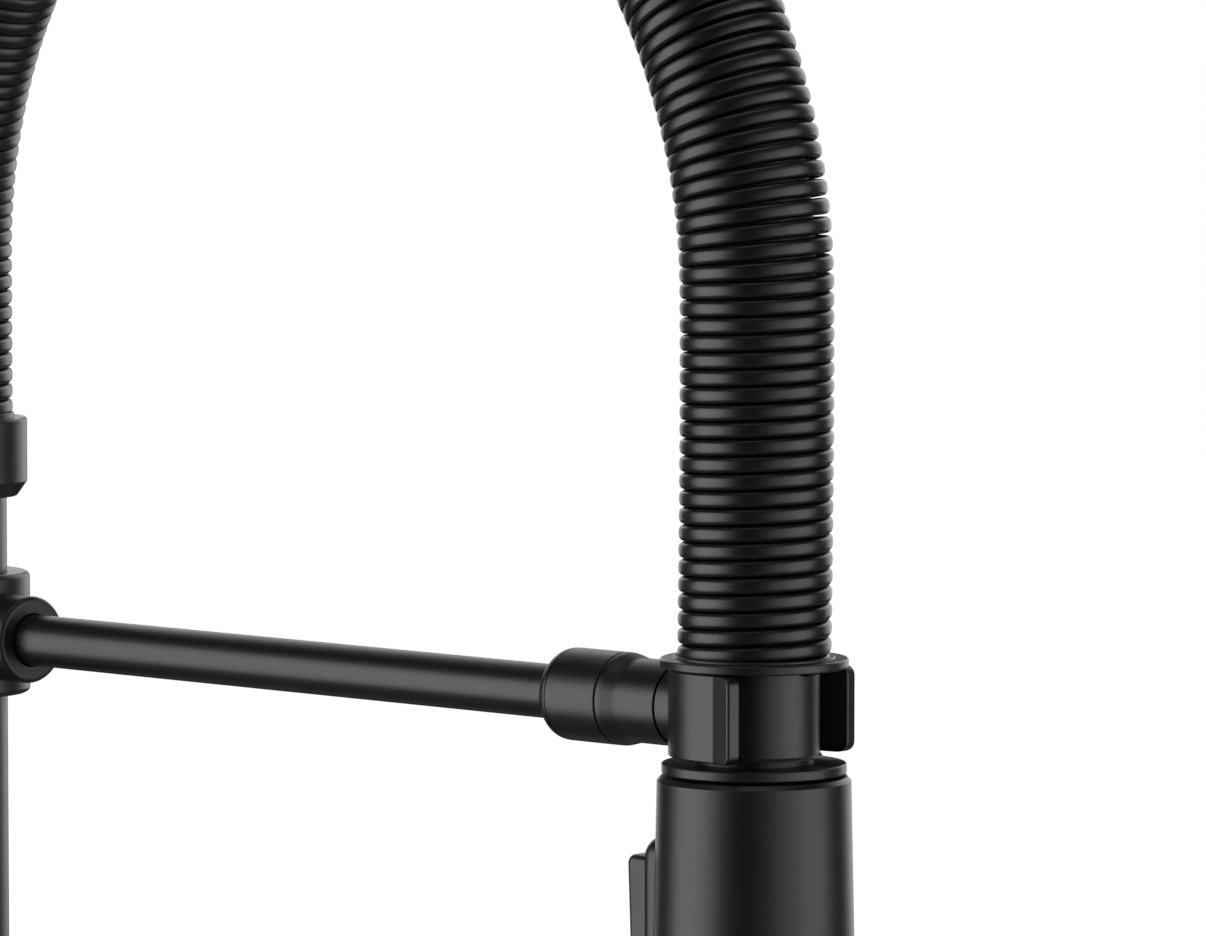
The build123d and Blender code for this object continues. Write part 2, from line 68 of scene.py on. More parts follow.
scene = bpy.context.scene

# Lengths in this script are millimetres, in the frame's own axes, and MM turns them into Blender's metres.
# SAME, WELD, the bumps, the floor and the lights are the exception: theirs are metres.
MM = 0.001
SAME, WELD = 1e-7, 2e-6      # points this close are one: in a new piece, and in a joined or cut one
ON_AXIS = 1e-6               # an outline point this close to the axis is on it


def corner(node, end):
    """The lowest (0) or highest (1) corner of a CAD node."""
    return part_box(node)[end] / MM


def middle(node):
    """The middle of a CAD node's box."""
    return (corner(node, 0) + corner(node, 1)) / 2


# ---------------------------------------------------------------- places taken from the frame
joints = {joint["name"]: joint for joint in frame["joints"]}
PIVOT = Vector(joints["flow_tilt"]["pos_m"]) / MM
HEAD_Y = middle("docking_collar").y
ARM_Z = middle("arm_rod").z
REACH = -HEAD_Y
STEM_TILT = 12.5      # degrees the lever's hub leans up

# The pieces are drawn about their own Z axis, and these place them.
UPRIGHT = Matrix.Identity(4)
HEAD = Matrix.Translation((0, HEAD_Y, 0))
ARM = Matrix.Translation((0, HEAD_Y, ARM_Z)) @ Matrix.Rotation(math.radians(-90), 4, "X")
RISER_ARM = Matrix.Translation((0, 0, ARM_Z)) @ Matrix.Rotation(math.radians(90), 4, "X")
PORT = Matrix.Translation((0, 0, PIVOT.z)) @ Matrix.Rotation(math.radians(90), 4, "Y")
STEM = Matrix.Translation(PIVOT) @ Matrix.Rotation(math.radians(90 - STEM_TILT), 4, "Y")
# Plates on the back of the spray head: X is world X, Y is world Z, and their height is world +Y.
HEAD_BACK = HEAD @ Matrix(((1, 0, 0, 0), (0, 0, 1, 0), (0, 1, 0, 0), (0, 0, 0, 1)))
# The paddle's side view: X is world +Y, Y is world Z, and its height is world X.
HEAD_SIDE = HEAD @ Matrix(((0, 0, 1, 0), (1, 0, 0, 0), (0, 1, 0, 0), (0, 0, 0, 1)))


# ---------------------------------------------------------------- mesh helpers
def rounded(points, steps=5):
    """A closed outline of (x, y, radius) corners, with each corner turned into an arc of its radius."""
    out = []
    for i, (x, y, radius) in enumerate(points):
        here = Vector((x, y))
        if radius <= 0:
            out.append(here)
            continue
        back = (Vector(points[i - 1][:2]) - here).normalized()
        ahead = (Vector(points[(i + 1) % len(points)][:2]) - here).normalized()
        half = back.angle(ahead) / 2
        centre = here + (back + ahead).normalized() * radius / math.sin(half)
        first = here + back * radius / math.tan(half) - centre
        last = here + ahead * radius / math.tan(half) - centre
        turn = math.atan2(first.cross(last), first.dot(last))
        for k in range(steps + 1):
            out.append(centre + Matrix.Rotation(turn * k / steps, 2) @ first)
    return out


def rectangle(half, low, high, radius, steps=6):
    """A rectangle with round corners, half as wide as given on each side of X = 0."""
    corners = [(-half, low), (half, low), (half, high), (-half, high)]
    return rounded([(x, y, radius) for x, y in corners], steps)


def on_circle(radius, angle, height):
    return radius * math.cos(angle), radius * math.sin(angle), height


def strip(a, b, count):
    """The faces between two closed rows of points that start at the numbers a and b."""
    for k in range(count):
        m = (k + 1) % count
        yield [a + k, a + m, b + m, b + k]


def new_piece(name, verts, faces, place=UPRIGHT):
    mesh = bpy.data.meshes.new(name)
    mesh.from_pydata([(place @ Vector(v)) * MM for v in verts], [], faces)
    bm = bmesh.new()
    bm.from_mesh(mesh)
    bmesh.ops.remove_doubles(bm, verts=bm.verts, dist=SAME)
    bmesh.ops.recalc_face_normals(bm, faces=bm.faces)
    bm.to_mesh(mesh)
    bm.free()
    piece = bpy.data.objects.new(name, mesh)
    scene.collection.objects.link(piece)
    return piece


def lathe(name, corners, place=UPRIGHT, around=128, steps=5):
    """Turns a closed outline of (radius, height, rounding) corners about the place's own Z axis."""
    outline = rounded(corners, steps)
    verts, faces = [], []
    for point in outline:
        for k in range(around):
            verts.append(on_circle(point.x, 2 * math.pi * k / around, point.y))
    count = len(outline)
    for i in range(count):
        j = (i + 1) % count
        starts_on_axis, ends_on_axis = outline[i].x < ON_AXIS, outline[j].x < ON_AXIS
        if starts_on_axis and ends_on_axis:
            continue
        for face in strip(i * around, j * around, around):
            if starts_on_axis:
                face = [face[0], face[2], face[3]]
            elif ends_on_axis:
                face = face[:3]
            faces.append(face)
    return new_piece(name, verts, faces, place)


def rod(name, radius, low, high, place=UPRIGHT, around=128):
    """A plain round rod, for joining to other pieces and for cutting holes."""
    return lathe(name, [(0, low, 0), (radius, low, 0), (radius, high, 0), (0, high, 0)], place, around)


def plate(name, outline, low, high, rim_low, rim_high, place=UPRIGHT, shift=None, extra=(), steps=4):
    """A plate of the given outline, between two heights, with its rims rounded.

    shift(point, height) may move a point of the outline, for ends that aren't square, and extra gives
    more heights at which to do so.
    """
    count = len(outline)
    area = sum(outline[i - 1].cross(outline[i]) for i in range(count))
    outward = []
    for i in range(count):
        along = (outline[(i + 1) % count] - outline[i - 1]).normalized()
        outward.append(Vector((along.y, -along.x)) * (1 if area > 0 else -1))
    levels = []
    for k in range(steps + 1):
        angle = math.pi / 2 * k / steps
        levels.append((low + rim_low * (1 - math.cos(angle)), rim_low * (1 - math.sin(angle))))
    levels += [(height, 0) for height in extra]
    for k in range(steps, -1, -1):
        angle = math.pi / 2 * k / steps
        levels.append((high - rim_high * (1 - math.cos(angle)), rim_high * (1 - math.sin(angle))))
    if not rim_low:
        levels = levels[steps:]
    if not rim_high:
        levels = levels[:-steps]
    verts, faces = [], []
    for height, inset in levels:
        for point, out in zip(outline, outward):
            moved = point - out * inset
            if shift:
                moved = shift(moved, height)
            verts.append((moved.x, moved.y, height))
    for level in range(len(levels) - 1):
        faces += strip(level * count, (level + 1) * count, count)
    faces.append(list(range(count)))
    faces.append([(len(levels) - 1) * count + k for k in range(count)])
    return new_piece(name, verts, faces, place)


def tube_along(name, centres, sides_a, sides_b, radius, sides, squareness=2.0):
    """A tube through the centres. sides_a and sides_b span its section at each centre.

    The section is round with a squareness of 2, and has flatter sides above that.
    """
    def bow(value):
        return math.copysign(abs(value) ** (2 / squareness), value)

    verts, faces = [], []
    for centre, a, b in zip(centres, sides_a, sides_b):
        for k in range(sides):
            angle = 2 * math.pi * k / sides
            verts.append(centre + (a * bow(math.cos(angle)) + b * bow(math.sin(angle))) * radius)
    last = len(centres) - 1
    for i in range(last):
        faces += strip(i * sides, (i + 1) * sides, sides)
    faces.append(list(range(sides)))
    faces.append([last * sides + k for k in range(sides)])
    return new_piece(name, verts, faces)


def combine(piece, other, operation):
    """Joins two closed pieces into one mesh (UNION), or cuts the second out of the first (DIFFERENCE)."""
    modifier = piece.modifiers.new("combine", "BOOLEAN")
    modifier.operation = operation
    modifier.object = other
    modifier.solver = "EXACT"
    bpy.context.view_layer.update()
    result = piece.evaluated_get(bpy.context.evaluated_depsgraph_get())
    mesh = bpy.data.meshes.new_from_object(result)
    bm = bmesh.new()
    bm.from_mesh(mesh)
    bmesh.ops.remove_doubles(bm, verts=bm.verts, dist=WELD)
    bmesh.ops.dissolve_degenerate(bm, edges=bm.edges, dist=WELD)
    bm.to_mesh(mesh)
    bm.free()
    piece.modifiers.clear()
    old = piece.data
    piece.data = mesh
    mesh.name = old.name
    bpy.data.meshes.remove(old)
    bpy.data.objects.remove(other)
    return piece


def smooth(piece, sharp=40):
    """Smooth shading that keeps flats flat and real edges crisp."""
    for polygon in piece.data.polygons:
        polygon.use_smooth = True
    piece.data.set_sharp_from_angle(angle=math.radians(sharp))
    modifier = piece.modifiers.new("even_normals", "WEIGHTED_NORMAL")
    modifier.keep_sharp = True


def finish(piece, material, node, sharp=40):
    """Shading, material and slot, and the CAD node that the piece stands for."""
    smooth(piece, sharp)
    piece.data.materials.clear()
    piece.data.materials.append(material)
    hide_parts(node)


def done(piece, material, body, node):
    """The last step for a rigid piece: its finish, and the body it rides on."""
    finish(piece, material, node)
    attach(piece, body)


# ---------------------------------------------------------------- materials
def principled(name):
    material = bpy.data.materials.new(name)
    material.use_nodes = True
    tree = material.node_tree
    return material, tree, tree.nodes["Principled BSDF"]


def noise(tree, scale, detail=2.0, stretch=(1, 1, 1)):
    """Procedural noise in the object's own space, with features about 1 / scale metres across."""
    space = tree.nodes.new("ShaderNodeTexCoord")
    mapping = tree.nodes.new("ShaderNodeMapping")
    mapping.inputs["Scale"].default_value = stretch
    texture = tree.nodes.new("ShaderNodeTexNoise")
    texture.inputs["Scale"].default_value = scale
    texture.inputs["Detail"].default_value = detail
    tree.links.new(space.outputs["Object"], mapping.inputs["Vector"])
    tree.links.new(mapping.outputs["Vector"], texture.inputs["Vector"])
    return texture.outputs["Fac"]


def map_range(tree, value, from_low, from_high, to_low, to_high):
    node = tree.nodes.new("ShaderNodeMapRange")
    node.inputs["From Min"].default_value = from_low
    node.inputs["From Max"].default_value = from_high
    node.inputs["To Min"].default_value = to_low
    node.inputs["To Max"].default_value = to_high
    tree.links.new(value, node.inputs["Value"])
    return node.outputs["Result"]


def two_tone(tree, value, dark, light):
    node = tree.nodes.new("ShaderNodeMix")
    node.data_type = "RGBA"
    node.inputs["A"].default_value = (*dark, 1)
    node.inputs["B"].default_value = (*light, 1)
    tree.links.new(value, node.inputs["Factor"])
    return node.outputs["Result"]


def bump(tree, shader, height, strength, distance):
    node = tree.nodes.new("ShaderNodeBump")
    node.inputs["Strength"].default_value = strength
    node.inputs["Distance"].default_value = distance
    tree.links.new(height, node.inputs["Height"])
    tree.links.new(node.outputs["Normal"], shader.inputs["Normal"])


MOST_NOISE = 0.3, 0.7      # nearly all of the noise's values are between these
BROAD, BUMP_STRENGTH = 60.0, 0.35


def surface(name, dark, light, rough, metal=0.0, grain=900.0, grain_depth=0.00001,
            stretch=(1, 1, 1)):
    """One procedural finish: a faint colour change, uneven roughness and a fine bump."""
    material, tree, shader = principled(name)
    broad = noise(tree, BROAD, 3.0)
    fine = noise(tree, grain, 3.0, stretch)
    blotches = map_range(tree, broad, *MOST_NOISE, 0, 1)
    tree.links.new(two_tone(tree, blotches, dark, light), shader.inputs["Base Color"])
    tree.links.new(map_range(tree, fine, *MOST_NOISE, *rough), shader.inputs["Roughness"])
    shader.inputs["Metallic"].default_value = metal
    shader.inputs["Specular IOR Level"].default_value = 0.5
    bump(tree, shader, fine, BUMP_STRENGTH, grain_depth)
    return material


BLACK_PAINT = surface("black_powder_coat", (0.0045, 0.0045, 0.0048),
                      (0.0065, 0.0065, 0.007), (0.36, 0.42), grain=1500.0)
BLACK_WIRE = surface("black_coated_wire", (0.004, 0.004, 0.0042),
                     (0.006, 0.006, 0.0064), (0.33, 0.38), grain=1200.0)
BLACK_PLASTIC = surface("black_satin_plastic", (0.0048, 0.0048, 0.005),
                        (0.007, 0.007, 0.0074), (0.36, 0.42), grain=2200.0)
BLACK_RUBBER = surface("black_rubber", (0.010, 0.010, 0.010),
                       (0.018, 0.018, 0.018), (0.62, 0.74), grain=1800.0, grain_depth=0.00003)
BRASS = surface("machined_brass", (0.58, 0.40, 0.16),
                (0.72, 0.52, 0.24), (0.24, 0.36), metal=1.0, grain=700.0, stretch=(1, 1, 7))
STEEL = surface("turned_steel", (0.48, 0.48, 0.49),
                (0.62, 0.62, 0.63), (0.24, 0.38), metal=1.0, grain=900.0, stretch=(1, 1, 8))
WHITE_PLASTIC = surface("white_acetal", (0.70, 0.69, 0.66),
                        (0.78, 0.77, 0.74), (0.38, 0.46))
CERAMIC = surface("ground_ceramic", (0.80, 0.79, 0.75),
                  (0.86, 0.85, 0.82), (0.10, 0.16), grain=2500.0)
SILICONE = surface("grey_silicone", (0.045, 0.046, 0.048),
                   (0.065, 0.066, 0.068), (0.52, 0.60), grain=1400.0)
BRAID = surface("braided_hose", (0.008, 0.008, 0.009),
                (0.020, 0.020, 0.022), (0.45, 0.60), grain=1100.0, grain_depth=0.0002, stretch=(1, 1, 2))

# ---------------------------------------------------------------- camera
VIEW_TURN, VIEW_DROP = -46.75, 4.34      # degrees round the object, and down from level
VIEW_DISTANCE, VIEW_HEIGHT, VIEW_ASIDE = 1369.9, 343.6, 27.0
LENS, SENSOR = 229.5, 36.0


def direction(turn, rise):
    """A unit vector from the object towards a place round it, with 0 in front of the spout."""
    a, e = math.radians(turn), math.radians(rise)
    return Vector((math.sin(a) * math.cos(e), -math.cos(a) * math.cos(e), math.sin(e)))


def make_camera():
    data = bpy.data.cameras.new("camera")
    data.lens = LENS
    data.sensor_width = SENSOR
    data.clip_start, data.clip_end = 0.05, 200.0
    camera = bpy.data.objects.new("camera", data)
    scene.collection.objects.link(camera)
    back = direction(VIEW_TURN, VIEW_DROP)
    right = Vector((math.cos(math.radians(VIEW_TURN)), math.sin(math.radians(VIEW_TURN)), 0))
    target = Vector((0, HEAD_Y, VIEW_HEIGHT))
    camera.location = (target + back * VIEW_DISTANCE - right * VIEW_ASIDE) * MM
    camera.rotation_euler = (math.radians(90 - VIEW_DROP), 0, math.radians(VIEW_TURN))
    scene.camera = camera


make_camera()


# ---------------------------------------------------------------- arch: spring and hose
ARCH_R = REACH / 2
SPRING_R = -corner("coil_spring", 0).y - REACH
ARCH_Z = corner("coil_spring", 1).z - SPRING_R - ARCH_R
HEAD_SEAT = corner("coil_spring", 0).z
RISER_SEAT = corner("riser_top_collar", 1).z
HEAD_LEG = ARCH_Z - HEAD_SEAT
RISER_LEG = ARCH_Z - RISER_SEAT
BEND = math.pi * ARCH_R
SPRING_LENGTH = HEAD_LEG + BEND + RISER_LEG
WIRE_R, WIRE_SQUARENESS, PITCH = 1.52, 2.8, 3.08
COIL_R = SPRING_R + 0.22 - WIRE_R
COIL_PHASE = 0.19
HEAD_END_SUNK, RISER_END_SUNK = 0.6, 2.6      # how far the end turns, ground flat, go below their seats
SLEEVE_R, HOSE_R = 10.7, 7.0
SLEEVE_GAP, SLEEVE_TAPER = 1.0, 2.0
SWAY, SWAY_LENGTH = 0.55, 105.0               # the spring leans out a little above its seat
STEPS_PER_TURN, WIRE_SIDES = 40, 16
HOSE_STEPS, HOSE_SIDES = 420, 48


def arch_point(s):
    """The arch's centre, outward direction and tangent, s millimetres along it from the head's seat."""
    if s < HEAD_LEG:
        out, up = Vector((0, -1, 0)), Vector((0, 0, 1))
        centre = Vector((0, HEAD_Y, HEAD_SEAT + s))
    elif s < HEAD_LEG + BEND:
        angle = (s - HEAD_LEG) / ARCH_R
        out = Vector((0, -math.cos(angle), math.sin(angle)))
        up = Vector((0, math.sin(angle), math.cos(angle)))
        centre = Vector((0, HEAD_Y / 2, ARCH_Z)) + out * ARCH_R
    else:
        out, up = Vector((0, 1, 0)), Vector((0, 0, -1))
        centre = Vector((0, 0, ARCH_Z - (s - HEAD_LEG - BEND)))
    sway = SWAY * math.sin(math.pi * min(max(s / SWAY_LENGTH, 0), 1))
    return centre + out * sway, out, up


def done_bending(piece, material, node):
    """The last step for a piece that runs from the riser to the docking collar and bends between them."""
    finish(piece, material, node, 60)
    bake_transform(piece)


def make_spring():
    """The right-handed coil, with a slightly flattened wire."""
    start = -HEAD_END_SUNK
    length = SPRING_LENGTH + RISER_END_SUNK - WIRE_R - start
    steps = int(length / PITCH * STEPS_PER_TURN)
    centres, radials = [], []
    for i in range(steps + 1):
        s = start + length * i / steps
        centre, out, up = arch_point(s)
        angle = 2 * math.pi * (s / PITCH + COIL_PHASE)
        radial = out * math.cos(angle) + up.cross(out) * math.sin(angle)
        centres.append(centre + radial * COIL_R)
        radials.append(radial)
    others = []
    for i in range(steps + 1):
        tangent = (centres[min(i + 1, steps)] - centres[max(i - 1, 0)]).normalized()
        others.append(tangent.cross(radials[i]).normalized())
    spring = tube_along("spout_coil", centres, radials, others, WIRE_R, WIRE_SIDES, WIRE_SQUARENESS)
    done_bending(spring, BLACK_WIRE, "coil_spring")


def make_hose():
    """The hose, with the wide sleeve that fills the spring between its two seats."""
    start = corner("inner_hose", 0).z - HEAD_SEAT
    end = HEAD_LEG + BEND + ARCH_Z - corner("riser_hose_ferrule", 0).z
    centres, outs, sides = [], [], []
    for i in range(HOSE_STEPS + 1):
        s = start + (end - start) * i / HOSE_STEPS
        centre, out, up = arch_point(s)
        from_head = min(max((s - SLEEVE_GAP) / SLEEVE_TAPER, 0), 1)
        from_riser = min(max((SPRING_LENGTH - SLEEVE_GAP - s) / SLEEVE_TAPER, 0), 1)
        swell = 1 + (SLEEVE_R / HOSE_R - 1) * from_head * from_riser
        centres.append(centre)
        outs.append(out * swell)
        sides.append(up.cross(out) * swell)
    hose = tube_along("braided_hose", centres, outs, sides, HOSE_R, HOSE_SIDES)
    done_bending(hose, BRAID, "inner_hose")


make_spring()
make_hose()


# ---------------------------------------------------------------- docking collar
TOP_FLANGE_R, TOP_FLANGE_T = 16.9, 1.7
LOW_FLANGE_R, LOW_FLANGE_T = 16.6, 1.9
NECK_R, NECK_LENGTH = 11.8, 17.1
FOOT_R, GROOVE_R, GROOVE_H = 12.35, 10.6, 1.1
SPIGOT_R, SPIGOT_LENGTH = 11.0, 3.0
LIP_R, LIP_H, CUP_R = 14.4, 0.45, 13.75
HOSE_BORE = 8.1


def make_docking_collar():
    """The grooved neck that the clip holds, with a flange above and below it and a cup for the spring."""
    rim = corner("docking_collar", 1).z
    flange_top = rim - LIP_H
    flange_low = flange_top - TOP_FLANGE_T
    low_top = flange_low - NECK_LENGTH
    low_low = low_top - LOW_FLANGE_T
    end = low_low - SPIGOT_LENGTH
    foot = low_top + GROOVE_H
    piece = lathe("docking_collar_body", [
        (HOSE_BORE, end, 0), (SPIGOT_R, end, 0.3), (SPIGOT_R, low_low, 0.1),
        (LOW_FLANGE_R, low_low, 0.35), (LOW_FLANGE_R, low_top, 0.35),
        (GROOVE_R, low_top, 0.05), (GROOVE_R, foot, 0.05), (FOOT_R, foot, 0.15),
        (NECK_R, foot + 0.75, 0.8), (NECK_R, flange_low, 0.12),
        (TOP_FLANGE_R, flange_low, 0.4), (TOP_FLANGE_R, flange_top, 0.4),
        (LIP_R + 0.1, flange_top, 0.1), (LIP_R, rim, 0.2), (CUP_R, rim, 0.2), (CUP_R, HEAD_SEAT, 0),
        (HOSE_BORE, HEAD_SEAT, 0)], HEAD)
    done(piece, BLACK_PAINT, "docking_collar", "docking_collar")


make_docking_collar()


# ---------------------------------------------------------------- dock arm
CLIP_H, CLIP_R, CLIP_BORE = 15.7, 15.4, 13.0
JAW_BEND, JAW_TIP, JAW_TIP_HALF, JAW_WALL = 4.05, 9.2, 17.1, 2.8
JAW_LEAN = 0.4                  # the inside of a jaw bends and ends this much further out
JAW_SLOPE = 0.34                # how fast the jaws spread
TIP_CORNER = 1.9                # the rounding of the jaws' ends, seen from the side
LINER_R, LINER_HALF, LINER_TIP = 12.1, 6.9, 3.6
CLIP_BOSS_R, CLIP_BOSS_START, CLIP_BOSS_END = 7.42, 13.8, 17.7
# the arm's own sizes: radii, then distances from the head's axis
ROD_R, ARM_NUT_R, WAIST_R, SLEEVE_BORE, PEG_R = 5.0, 8.5, 7.7, 6.5, 4.0
PEG_START, COVE_START, COVE_END, NUT_START, ROD_START = 14.2, 27.2, 30.4, 31.5, 36.0
NUT_END, GLAND_END = 43.8, 46.8
GLAND_NECK_R = 7.9
RISER_R = 12.5
ARM_COLLAR_R, ARM_COLLAR_HALF = 17.0, 12.0
ARM_BOSS_START, ARM_BOSS_END = 14.0, 26.0      # distances from the riser's axis


def half_ring(radius, steps=40):
    """Points round the back of the clip, without the two ends."""
    return [Vector(on_circle(radius, math.pi * k / steps, 0)[:2]) for k in range(1, steps)]


def clip_outline(outer, inner, jaw_outer, jaw_inner):
    """The clip from above: out along one jaw, round the back of the ring and out along the other jaw."""
    right = [Vector(p) for p in jaw_inner] + [Vector(p) for p in jaw_outer]
    left = [Vector((-p.x, p.y)) for p in reversed(right)]
    return right + half_ring(outer) + left + half_ring(inner)[::-1]


def round_tips(point, height):
    """Pulls the jaw ends back near the top and bottom, so that they have round corners from the side."""
    jaw_start = JAW_BEND + 1
    from_edge = CLIP_H / 2 - abs(height - ARM_Z)
    if from_edge >= TIP_CORNER or point.y > -jaw_start:
        return point
    back = TIP_CORNER - math.sqrt(max(TIP_CORNER ** 2 - (TIP_CORNER - from_edge) ** 2, 0))
    share = (-jaw_start - point.y) / (JAW_TIP - jaw_start)
    return Vector((point.x - math.copysign(back * JAW_SLOPE * share, point.x), point.y + back * share))


def make_clip():
    """The open clip with its two spread jaws, and the plastic liner in its bore."""
    corner_steps = 6
    jaw = rounded([
        (CLIP_BORE, 0, 0), (CLIP_BORE, -JAW_BEND - JAW_LEAN, 3.0),
        (JAW_TIP_HALF - JAW_WALL, -JAW_TIP - JAW_LEAN, 0.5), (JAW_TIP_HALF, -JAW_TIP, 0.55),
        (CLIP_R, -JAW_BEND, 1.2), (CLIP_R, 0, 0)], corner_steps)
    inside = corner_steps + 2          # the sharp first corner, and the arc of the second
    outline = clip_outline(CLIP_R, CLIP_BORE, jaw[inside:], jaw[:inside])
    low, high = ARM_Z - CLIP_H / 2, ARM_Z + CLIP_H / 2
    heights = [low + TIP_CORNER * k / 6 for k in range(2, 7)]
    heights += [2 * ARM_Z - height for height in reversed(heights)]
    ring = plate("clip_ring", outline, low, high, 0.35, 0.35, HEAD, round_tips, heights)
    boss = lathe("clip_boss", [
        (0, CLIP_BOSS_START, 0), (CLIP_BOSS_R, CLIP_BOSS_START, 0), (CLIP_BOSS_R, CLIP_BOSS_END, 0.25),
        (0, CLIP_BOSS_END, 0)], ARM, 96)
    done(combine(ring, boss, "UNION"), BLACK_PAINT, "spout", "dock_clip")

    pad_inner = [(LINER_R, 0), (LINER_R, 0.3 - LINER_TIP), (LINER_R + 0.25, -LINER_TIP)]
    pad_outer = [(CLIP_BORE, -LINER_TIP), (CLIP_BORE, 0)]
    liner = plate("clip_liner_pad", clip_outline(CLIP_BORE - 0.005, LINER_R, pad_outer, pad_inner),
                  ARM_Z - LINER_HALF, ARM_Z + LINER_HALF, 0.2, 0.2, HEAD)
    done(liner, BLACK_PLASTIC, "spout", "clip_liner")


def make_arm():
    """The rod, the domed gland, the coupling nut and the waisted shank, with a fine seam between each."""
    seam, gland_seam = 0.1, (-0.05, 0.12)
    bar = rod("dock_arm_rod", ROD_R, ROD_START, REACH - ARM_BOSS_START, ARM)
    done(bar, BLACK_PAINT, "spout", "arm_rod")

    dome_low = NUT_END + gland_seam[1]
    dome = []
    for k in range(13):
        angle = math.pi / 2 * k / 12
        radius = ROD_R + (ARM_NUT_R - 0.03 - ROD_R) * math.cos(angle)
        dome.append((radius, dome_low + (GLAND_END - NUT_END) * math.sin(angle), 0))
    gland = lathe("arm_gland_dome", [
        (ROD_R, ROD_START, 0), (SLEEVE_BORE, ROD_START, 0), (GLAND_NECK_R, NUT_END + gland_seam[0], 0),
        (GLAND_NECK_R, dome_low, 0)] + dome, ARM)
    done(gland, BLACK_PAINT, "spout", "arm_gland")

    nut_low, nut_high = NUT_START + seam, NUT_END + gland_seam[0]
    nut = lathe("arm_coupling_nut", [
        (SLEEVE_BORE, nut_low, 0), (ARM_NUT_R, nut_low, 0.25), (ARM_NUT_R, nut_high, 0.12),
        (SLEEVE_BORE, nut_high, 0)], ARM)
    done(nut, BLACK_PAINT, "spout", "coupling_nut")

    shoulder = CLIP_BOSS_END + 0.03
    shank_end = NUT_START - seam
    shank = lathe("clip_arm_shank", [
        (0, PEG_START, 0), (PEG_R, PEG_START, 0), (PEG_R, shoulder, 0), (WAIST_R, shoulder, 0.15),
        (WAIST_R, COVE_START, 5.0), (ARM_NUT_R, COVE_END, 5.0), (ARM_NUT_R, shank_end, 0.25),
        (SLEEVE_BORE, shank_end, 0), (SLEEVE_BORE, ROD_START - 0.2, 0), (0, ROD_START - 0.2, 0)],
        ARM, steps=8)
    done(shank, BLACK_PAINT, "spout", "clip_shank")

    low, high = ARM_Z - ARM_COLLAR_HALF, ARM_Z + ARM_COLLAR_HALF
    collar = lathe("arm_collar_body", [
        (RISER_R, low, 0), (ARM_COLLAR_R, low, 1.2), (ARM_COLLAR_R, high, 1.2), (RISER_R, high, 0)])
    boss = lathe("collar_boss", [
        (ROD_R, ARM_BOSS_START, 0), (ARM_NUT_R, ARM_BOSS_START, 0), (ARM_NUT_R, ARM_BOSS_END, 1.0),
        (ROD_R + 0.2, ARM_BOSS_END, 0.3), (ROD_R, ARM_BOSS_END - 0.4, 0)], RISER_ARM)
    done(combine(collar, boss, "UNION"), BLACK_PAINT, "spout", "arm_collar")


make_clip()
make_arm()


# ---------------------------------------------------------------- riser
RISER_BORE, SPIGOT_BORE = 11.5, 9.6
SOCKET_R, SOCKET_SHOULDER, SOCKET_TOP, SOCKET_END = 16.5, 152.6, 160.0, 190.0
RISER_START = 150.0
TOP_COLLAR_R, TOP_COLLAR_NECK_R, TOP_COLLAR_BORE = 16.6, 14.0, 8.2
TOP_COLLAR_HEIGHT = 16.5


def make_riser():
    """The socket that turns on the base, the pipe in it, and the collar under the spring's other end."""
    low = corner("riser_socket", 0).z
    top = corner("riser_tube", 1).z
    socket = lathe("riser_socket_body", [
        (SPIGOT_BORE, low, 0), (SOCKET_R, low, 0.4), (SOCKET_R, SOCKET_SHOULDER, 1.2),
        (RISER_R + 0.8, SOCKET_TOP, 1.4), (RISER_R, SOCKET_TOP, 0.15), (RISER_R, RISER_START, 0),
        (RISER_BORE, RISER_START, 0), (RISER_BORE, SOCKET_END, 0), (SPIGOT_BORE, SOCKET_END, 0)])
    done(socket, BLACK_PAINT, "spout", "riser_socket")

    pipe = lathe("riser_pipe", [
        (RISER_BORE, RISER_START, 0), (RISER_R, RISER_START, 0), (RISER_R, top, 0), (RISER_BORE, top, 0)])
    done(pipe, BLACK_PAINT, "spout", "riser_tube")

    foot, step = RISER_SEAT - TOP_COLLAR_HEIGHT, RISER_SEAT - 1.0
    collar = lathe("riser_spring_collar", [
        (RISER_R, foot, 0.2), (TOP_COLLAR_R - 2, foot, 0.5), (TOP_COLLAR_R, foot + 2.9, 0.8),
        (TOP_COLLAR_R, step, 0.6), (TOP_COLLAR_NECK_R + 0.1, step, 0.1),
        (TOP_COLLAR_NECK_R, RISER_SEAT, 0.25), (TOP_COLLAR_BORE, RISER_SEAT, 0), (TOP_COLLAR_BORE, top, 0),
        (RISER_R, top, 0)])
    done(collar, BLACK_PAINT, "spout", "riser_top_collar")


make_riser()


# ---------------------------------------------------------------- spray head
SHELL_WALL, SHELL_HOLE = 1.8, 12.0
SHELL_TOP_R, SHELL_UPPER_R, SHELL_LOWER_R, SHELL_END_R = 17.4, 18.0, 18.9, 20.4
SHELL_UPPER, SHELL_LOWER = 28.4, 66.4        # how far below the top those radii are
BEZEL_SUNK, BEZEL_INSET = 0.9, 0.2           # the bezel's face and sides, inside its CAD box
BEZEL_BACK, BEZEL_CORNER, BEZEL_RIM = 13.6, 4.0, 3.0
PADDLE_HALF, PADDLE_BACK, PADDLE_DROP = 9.8, 15.0, 0.5
PADDLE_LOW_FACE, PADDLE_TOP_FACE = 21.8, 23.0
PADDLE_DRAFT = 0.07 / 8                      # how much narrower the paddle gets per millimetre forward
FACE_BORE, FACE_SEAT_R, FACE_R = 17.4, 18.3, 20.6


